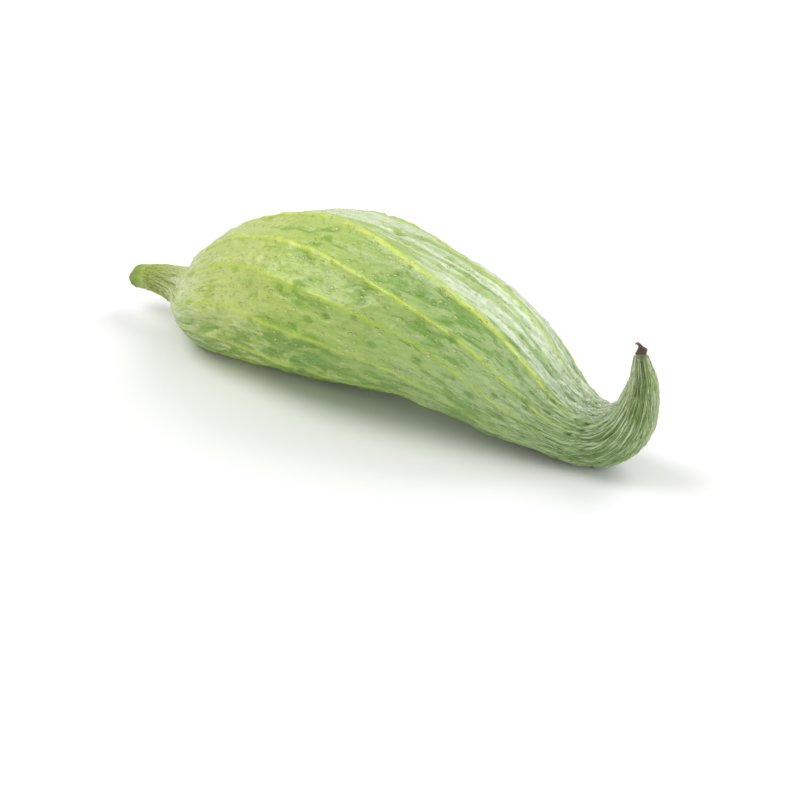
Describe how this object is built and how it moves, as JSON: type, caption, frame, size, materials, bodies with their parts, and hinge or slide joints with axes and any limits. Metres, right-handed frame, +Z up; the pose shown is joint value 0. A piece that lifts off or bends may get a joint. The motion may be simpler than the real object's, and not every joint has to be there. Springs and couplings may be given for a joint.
{
  "type": "achocha fruit",
  "caption": "Achocha, a pale green ribbed pod with a narrow neck, a fat body and a hooked beak, picked and lying on its belly.",
  "frame": {"origin": "on the surface the fruit lies on, under the middle of its outline box", "axes": "+X from the stalk to the beak, +Z up, so the hooked beak's tip points up"},
  "size_m": [0.1596, 0.05, 0.044],
  "materials": {
    "pod_skin": "waxy, half glossy skin",
    "stalk_skin": "firm green stalk, dull",
    "dried_flower": "dry and papery"
  },
  "bodies": {
    "root": {"pod": "pod_skin", "stalk": "stalk_skin", "flower_rest": "dried_flower"}
  },
  "joints": []
}
